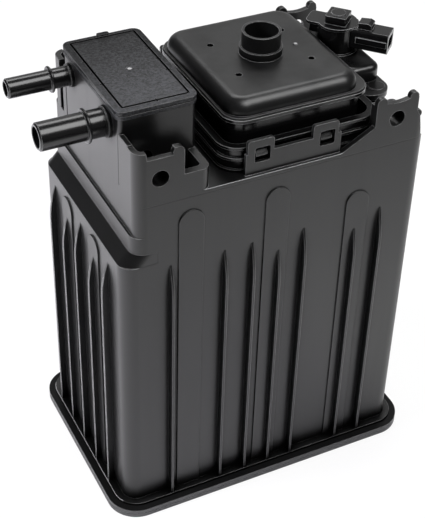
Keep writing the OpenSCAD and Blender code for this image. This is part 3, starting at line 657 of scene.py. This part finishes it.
class CANISTER_OT_solenoid(bpy.types.Operator):
    """Finish the coil pack and the plunger inside the solenoid"""

    bl_idname = "canister.solenoid"
    bl_label = "Solenoid pack"

    def execute(self, context):
        iron = plain("soft_iron", dark=(0.36, 0.37, 0.39), light=(0.52, 0.53, 0.55),
                     size=3 * MM, roughness=0.38, depth=0.02 * MM, metallic=1.0, stretch=(1, 1, 0.05))
        nylon = plain("bobbin_nylon", dark=(0.66, 0.62, 0.52), light=(0.8, 0.77, 0.68),
                      size=4 * MM, roughness=0.5, depth=0.02 * MM)
        steel = plain("spring_wire", dark=(0.45, 0.46, 0.47), light=(0.65, 0.66, 0.67),
                      size=1 * MM, roughness=0.28, depth=0.01 * MM, metallic=1.0)
        dress(iron, "flux_tube", "pole_core", "plunger")
        dress(nylon, "coil_bobbin")
        dress(winding_surface(), "coil_winding")
        dress(steel, "plate_springs")
        self.return_coil(context, steel)
        return {"FINISHED"}

    def return_coil(self, context, steel):
        """The return spring, copied from the packed one and parented to the canister; the share of its
        length it would keep is worked out but not applied.
        """
        low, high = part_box("return_spring")
        coil = bpy.data.objects.new("return_coil", NODES["return_spring"].data.copy())
        context.scene.collection.objects.link(coil)
        coil.data.materials.clear()
        coil.data.materials.append(steel)
        slides = [joint for joint in frame["joints"] if joint["name"] == "plunger_slide"]
        travel = max(joint["range_m"][1] for joint in slides)
        slack = 0.1 * MM
        keep = 1 - (travel + slack) / (high.z - low.z)
        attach(coil, "canister")
        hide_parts("return_spring")
        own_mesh(coil)


class CANISTER_OT_carbon(bpy.types.Operator):
    """Finish the carbon beds, felt pads and pressure plates"""

    bl_idname = "canister.carbon"
    bl_label = "Carbon beds"

    def execute(self, context):
        look = looks(context).moulding
        felt = plain("pad_felt", dark=(0.05, 0.048, 0.044), light=(0.13, 0.125, 0.115),
                     size=0.7 * MM, roughness=0.95, depth=0.3 * MM)
        plate = moulded("plate_plastic", look, look.roughness + 0.1, colour_scale=1.5)
        dress(carbon_surface(), "carbon_bed_tank", "carbon_bed_vent")
        dress(felt, "upper_pads", "lower_pads")
        dress(plate, "pressure_plates")
        return {"FINISHED"}


class CANISTER_OT_stage(bpy.types.Operator):
    """Set up the pale floor, the soft white light and the camera"""

    bl_idname = "canister.stage"
    bl_label = "Studio"

    def execute(self, context):
        look = looks(context).studio
        self.floor(context, look)
        self.surround(context, look)
        self.lamps(context, look)
        self.camera(context, look)
        context.scene.view_settings.view_transform = "Standard"
        return {"FINISHED"}

    def floor(self, context, look):
        """A round floor, almost white to the camera, whose paint is what the plastic mirrors."""
        mesh = bpy.data.meshes.new("floor")
        bm = bmesh.new()
        bmesh.ops.create_circle(bm, cap_ends=True, segments=96, radius=FLOOR_RADIUS)
        bmesh.ops.translate(bm, verts=bm.verts, vec=(0, 0, CAD_BOX[0].z - FLOOR_GAP))
        bm.to_mesh(mesh)
        bm.free()
        mesh.materials.append(self.floor_paint(look))
        floor = bpy.data.objects.new("floor", mesh)
        context.scene.collection.objects.link(floor)

    def floor_paint(self, look):
        """Pale round the canister and cooler close to it, with a painted pool of light at its right foot
        and painted shade far in front.
        """
        s = new_shader("floor_paint")
        x, y, _ = s.xyz()
        # Painted shade on the floor far in front, which the plastic mirrors; a cooler tone close by
        painted_dark_front, near = y.rise(-0.58, -0.4), y.rise(-0.32, -0.14)
        # Painted pool of light on the floor at the canister's right foot
        painted_light_pool = x.rise(0.06, 0.13) * y.rise(-0.26, -0.16)
        dark = [c * 0.12 for c in look.floor]
        cool = [c * tint for c, tint in zip(look.floor, (1.0, 0.99, 1.035))]
        tone = s.marked(s.blend(painted_dark_front, dark, look.floor), near, cool)
        tone = s.marked(tone, painted_light_pool, WHITE)
        far = (x * x + y * y).root().rise(0.4, 1.2)
        paint = s.add("ShaderNodeBsdfDiffuse", None, {"Color": tone})["BSDF"]
        glow = s.add("ShaderNodeEmission", None, {"Color": (*WHITE, 1), "Strength": 1.0})["Emission"]
        return s.output(s.mix(s.camera_ray() * (0.85 + 0.15 * far), paint, glow))

    def surround(self, context, look):
        """White to the camera, dim in reflections, darkest at the left, with a low pale panel behind."""
        world = bpy.data.worlds.new("white_tent")
        context.scene.world = world
        s = Shader(world)
        way = s.add("ShaderNodeTexCoord")["Generated"]
        parts = s.add("ShaderNodeSeparateXYZ", None, {"Vector": way})
        x, y, z = parts["X"], parts["Y"], parts["Z"]
        panel = y.rise(0.35, 0.6) * x.rise(-0.3, 0.05) * z.fall(0.58, 0.75)
        light = 0.06 + 0.08 * x.rise(-0.5, -0.1) + 0.4 * panel
        seen = s.camera_ray()
        strength = (light * (1 - seen) + seen) * look.sky
        inputs = {"Color": (*WHITE, 1), "Strength": strength}
        paint = s.add("ShaderNodeBackground", None, inputs)["Background"]
        s.add("ShaderNodeOutputWorld", None, {"Surface": paint})

    def lamps(self, context, look):
        """Two softboxes, and a wash that lights the floor at the left without being mirrored."""
        # name, place, aim, width, depth, share of the key light, seen in reflections
        lamps = (
            ("front_softbox", (0.31, -0.55, 1.3), (0.02, -0.03, 0.2), 1.0, 0.7, 1.8, True),
            ("rear_softbox", (0.33, 0.69, 1.28), (0.02, 0, 0.2), 1.0, 0.36, 0.7, True),
            ("floor_wash", (-1.1, 0.15, 0.85), (-0.35, 0.35, 0), 0.5, 0.5, 3.1, False),
        )
        for name, place, aim, wide, deep, share, mirrored in lamps:
            lamp = bpy.data.lights.new(name, "AREA")
            lamp.shape = "RECTANGLE"
            lamp.size, lamp.size_y = wide, deep
            lamp.energy = look.key * share
            holder = bpy.data.objects.new(name, lamp)
            context.scene.collection.objects.link(holder)
            turn = (Vector(aim) - Vector(place)).to_track_quat("-Z", "Y")
            holder.matrix_world = Matrix.Translation(place) @ turn.to_matrix().to_4x4()
            holder.visible_camera = False
            holder.visible_glossy = mirrored

    def camera(self, context, look):
        """The camera of the photograph, from its yaw, pitch and roll."""
        cos_yaw, sin_yaw = math.cos(look.yaw), math.sin(look.yaw)
        cos_pitch, sin_pitch = math.cos(look.pitch), math.sin(look.pitch)
        cos_roll, sin_roll = math.cos(look.roll), math.sin(look.roll)
        ahead = Vector((-sin_yaw * cos_pitch, cos_yaw * cos_pitch, -sin_pitch))
        level = Vector((cos_yaw, sin_yaw, 0))
        under = ahead.cross(level)
        right = cos_roll * level + sin_roll * under
        down = cos_roll * under - sin_roll * level
        lens = bpy.data.cameras.new("photo_camera")
        lens.lens = look.lens
        lens.sensor_width = SENSOR_WIDTH
        lens.clip_start, lens.clip_end = 0.01, 50
        camera = bpy.data.objects.new("photo_camera", lens)
        context.scene.collection.objects.link(camera)
        turn = Matrix((right, -down, -ahead)).transposed().to_4x4()
        camera.matrix_world = Matrix.Translation(look.spot) @ turn
        context.scene.camera = camera


class CANISTER_PT_panel(bpy.types.Panel):
    """Finish of the charcoal canister"""

    bl_idname = "CANISTER_PT_panel"
    bl_label = "Charcoal Canister"
    bl_space_type = "VIEW_3D"
    bl_region_type = "UI"
    bl_category = "Canister"

    def draw(self, context):
        layout = self.layout
        look = looks(context)
        for group in (look.moulding, look.studio):
            box = layout.box()
            for name in group.bl_rna.properties.keys():
                if name not in {"rna_type", "name"}:
                    box.prop(group, name)
        for step in STEPS:
            layout.operator(step.bl_idname)


STEPS = (
    CANISTER_OT_housing,
    CANISTER_OT_covers,
    CANISTER_OT_vent_module,
    CANISTER_OT_valve,
    CANISTER_OT_solenoid,
    CANISTER_OT_carbon,
    CANISTER_OT_stage,
)
CLASSES = (MouldingLook, StudioLook, CanisterLook, *STEPS, CANISTER_PT_panel)


def register():
    for cls in CLASSES:
        bpy.utils.register_class(cls)
    bpy.types.Scene.canister_look = bpy.props.PointerProperty(type=CanisterLook)


def unregister():
    del bpy.types.Scene.canister_look
    for cls in reversed(CLASSES):
        bpy.utils.unregister_class(cls)


def main():
    register()
    bpy.ops.canister.housing()
    bpy.ops.canister.covers()
    bpy.ops.canister.vent_module()
    bpy.ops.canister.valve()
    bpy.ops.canister.solenoid()
    bpy.ops.canister.carbon()
    bpy.ops.canister.stage()


if __name__ == "__main__":
    main()
